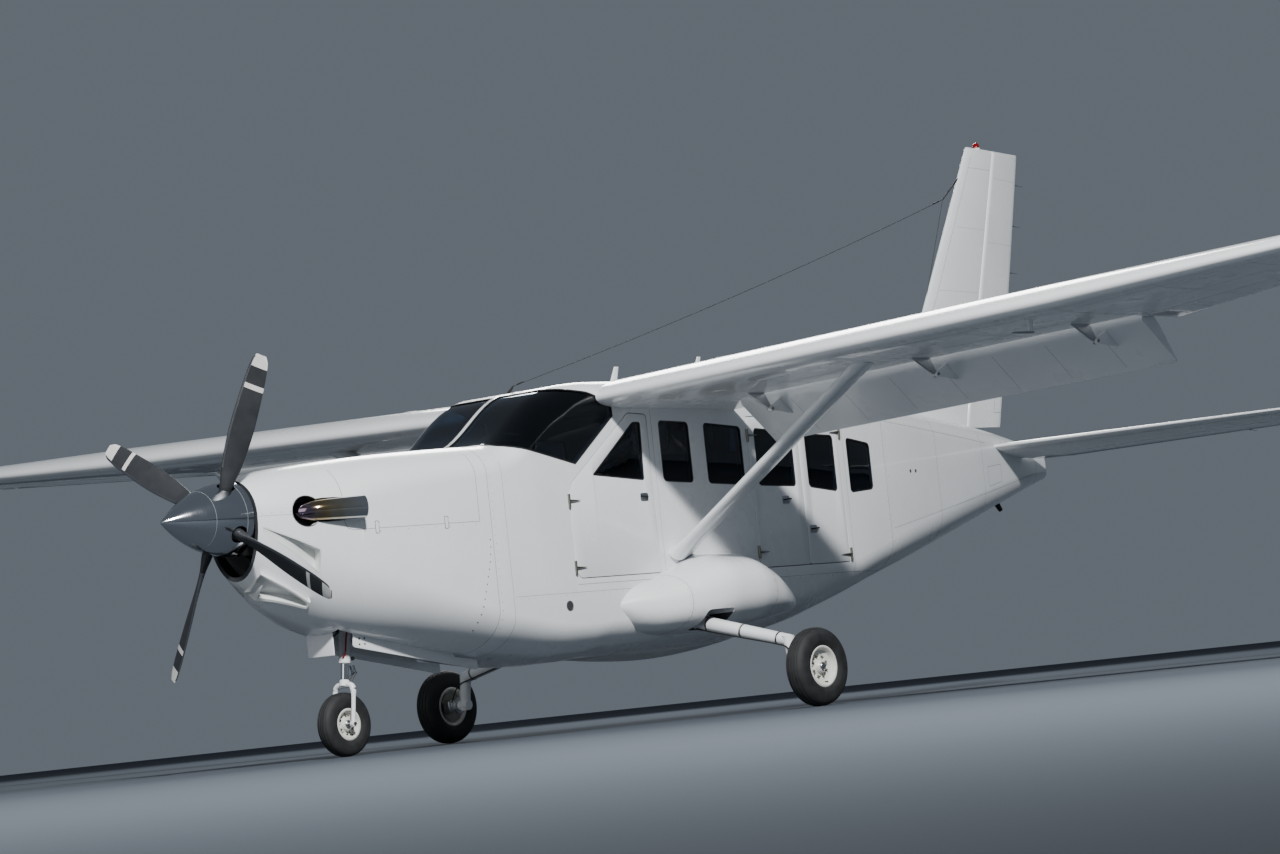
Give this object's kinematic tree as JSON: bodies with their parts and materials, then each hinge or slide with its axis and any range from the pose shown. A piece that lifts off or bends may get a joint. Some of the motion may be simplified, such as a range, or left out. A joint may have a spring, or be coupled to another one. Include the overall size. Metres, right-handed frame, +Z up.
{
  "type": "light utility airplane",
  "caption": "High-wing single-propeller utility airplane with strutted wings, lowered flaps, wheel gear on stub fairings, hinged doors and a hollow cabin with seats.",
  "frame": {"origin": "on the ground below the middle of the airplane's bounding box", "axes": "+X towards the left wing tip, -Y towards the nose, +Z up; the propeller's axis is level along Y"},
  "size_m": [14.43, 9.9, 4.455],
  "materials": {
    "white_paint": "sheet aluminium in gloss white aircraft enamel, plain, with no stripe",
    "polished_metal": "polished",
    "blade_paint": "satin dark grey with white tip stripes",
    "window_glass": "clear acrylic, lightly tinted",
    "tyre_rubber": "matte",
    "wheel_paint": "semi-gloss white",
    "engine_steel": "plain",
    "seat_fabric": "woven grey",
    "cabin_trim": "moulded, matte"
  },
  "bodies": {
    "airframe": {"engine_cowling": "white_paint", "firewall_frame": "white_paint", "cabin_belly": "white_paint", "cabin_roof": "white_paint", "cabin_side_left": "white_paint", "cabin_side_right": "white_paint", "windshield_left": "window_glass", "windshield_right": "window_glass", "side_windows_left": "window_glass", "rear_window_left": "window_glass", "side_windows_right": "window_glass", "rear_fuselage": "white_paint", "wing_left": "white_paint", "wing_right": "white_paint", "wing_strut_left": "white_paint", "wing_strut_right": "white_paint", "tailplane": "white_paint", "fin": "white_paint", "engine_block": "engine_steel", "exhaust_stack_left": "polished_metal", "exhaust_stack_right": "polished_metal", "gear_sponson_left": "white_paint", "gear_sponson_right": "white_paint", "main_gear_leg_left": "white_paint", "main_gear_leg_right": "white_paint", "nose_gear_leg": "white_paint", "nose_gear_door_left": "white_paint", "nose_gear_door_right": "white_paint", "nose_gear_front_door": "white_paint", "cabin_floor": "cabin_trim", "instrument_panel": "cabin_trim", "crew_seat_left": "seat_fabric", "crew_seat_right": "seat_fabric", "passenger_seats_front": "seat_fabric", "passenger_seats_rear": "seat_fabric"},
    "propeller": {"propeller": "blade_paint", "spinner": "polished_metal"},
    "crew_door_left": {"crew_door_left": "white_paint", "crew_door_left_window": "window_glass"},
    "crew_door_right": {"crew_door_right": "white_paint", "crew_door_right_window": "window_glass"},
    "cabin_door_front": {"cabin_door_front": "white_paint", "cabin_door_front_window": "window_glass"},
    "cabin_door_rear": {"cabin_door_rear": "white_paint", "cabin_door_rear_window": "window_glass"},
    "flap_left": {"flap_left": "white_paint"},
    "flap_right": {"flap_right": "white_paint"},
    "aileron_left": {"aileron_left": "white_paint"},
    "aileron_right": {"aileron_right": "white_paint"},
    "elevator": {"elevator_left": "white_paint", "elevator_right": "white_paint"},
    "rudder": {"rudder": "white_paint"},
    "nose_fork": {"nose_fork": "white_paint"},
    "nose_wheel": {"nose_tyre": "tyre_rubber", "nose_rim": "wheel_paint"},
    "main_wheel_left": {"main_tyre_left": "tyre_rubber", "main_rim_left": "wheel_paint"},
    "main_wheel_right": {"main_tyre_right": "tyre_rubber", "main_rim_right": "wheel_paint"}
  },
  "joints": [
    {"name": "propeller_spin", "type": "hinge", "parent": "airframe", "child": "propeller", "pos_m": [0, -4.443, 1.683], "axis": [0, 1, 0], "continuous": true},
    {"name": "crew_door_left_hinge", "type": "hinge", "parent": "airframe", "child": "crew_door_left", "pos_m": [0.6602, -1.666, 1.16], "axis": [0, 0, -1], "range_deg": [0, 70]},
    {"name": "crew_door_right_hinge", "type": "hinge", "parent": "airframe", "child": "crew_door_right", "pos_m": [-0.6602, -1.666, 1.16], "axis": [0, 0, 1], "range_deg": [0, 70]},
    {"name": "cabin_door_front_hinge", "type": "hinge", "parent": "airframe", "child": "cabin_door_front", "pos_m": [0.6604, 0.344, 1.18], "axis": [0, 0, -1], "range_deg": [0, 80]},
    {"name": "cabin_door_rear_hinge", "type": "hinge", "parent": "airframe", "child": "cabin_door_rear", "pos_m": [0.6524, 1.426, 1.12], "axis": [0, 0, 1], "range_deg": [0, 100]},
    {"name": "flap_left_hinge", "type": "hinge", "parent": "airframe", "child": "flap_left", "pos_m": [1.06, -0.23461, 2.16948], "axis": [0.9995, 0, 0.0323], "range_deg": [0, 38]},
    {"name": "flap_right_hinge", "type": "hinge", "parent": "airframe", "child": "flap_right", "pos_m": [-1.06, -0.23461, 2.16948], "axis": [0.9995, 0, -0.0323], "range_deg": [0, 38]},
    {"name": "aileron_left_hinge", "type": "hinge", "parent": "airframe", "child": "aileron_left", "pos_m": [4.75, -0.14, 2.46068], "axis": [0.9796, -0.1941, 0.052], "range_deg": [-20, 20]},
    {"name": "aileron_right_hinge", "type": "hinge", "parent": "airframe", "child": "aileron_right", "pos_m": [-4.75, -0.14, 2.46068], "axis": [0.9796, 0.1941, -0.052], "range_deg": [-20, 20]},
    {"name": "elevator_hinge", "type": "hinge", "parent": "airframe", "child": "elevator", "pos_m": [0, 4.356, 1.86439], "axis": [1, 0, 0], "range_deg": [-15, 25]},
    {"name": "rudder_hinge", "type": "hinge", "parent": "airframe", "child": "rudder", "pos_m": [0, 3.81652, 2.1113], "axis": [0, 0.3207, 0.9472], "range_deg": [-25, 25]},
    {"name": "nose_steering", "type": "hinge", "parent": "airframe", "child": "nose_fork", "pos_m": [0, -3.457, 0.2225], "axis": [0, 0.1478, 0.989], "range_deg": [-30, 30]},
    {"name": "nose_wheel_roll", "type": "hinge", "parent": "nose_fork", "child": "nose_wheel", "pos_m": [0, -3.457, 0.2225], "axis": [1, 0, 0], "continuous": true},
    {"name": "main_wheel_left_roll", "type": "hinge", "parent": "airframe", "child": "main_wheel_left", "pos_m": [1.87, -0.578, 0.2805], "axis": [1, 0, 0], "continuous": true},
    {"name": "main_wheel_right_roll", "type": "hinge", "parent": "airframe", "child": "main_wheel_right", "pos_m": [-1.87, -0.578, 0.2805], "axis": [1, 0, 0], "continuous": true}
  ],
  "couplings": [
    {"joint": "flap_right_hinge", "follows": "flap_left_hinge", "ratio": 1},
    {"joint": "aileron_right_hinge", "follows": "aileron_left_hinge", "ratio": -1}
  ]
}
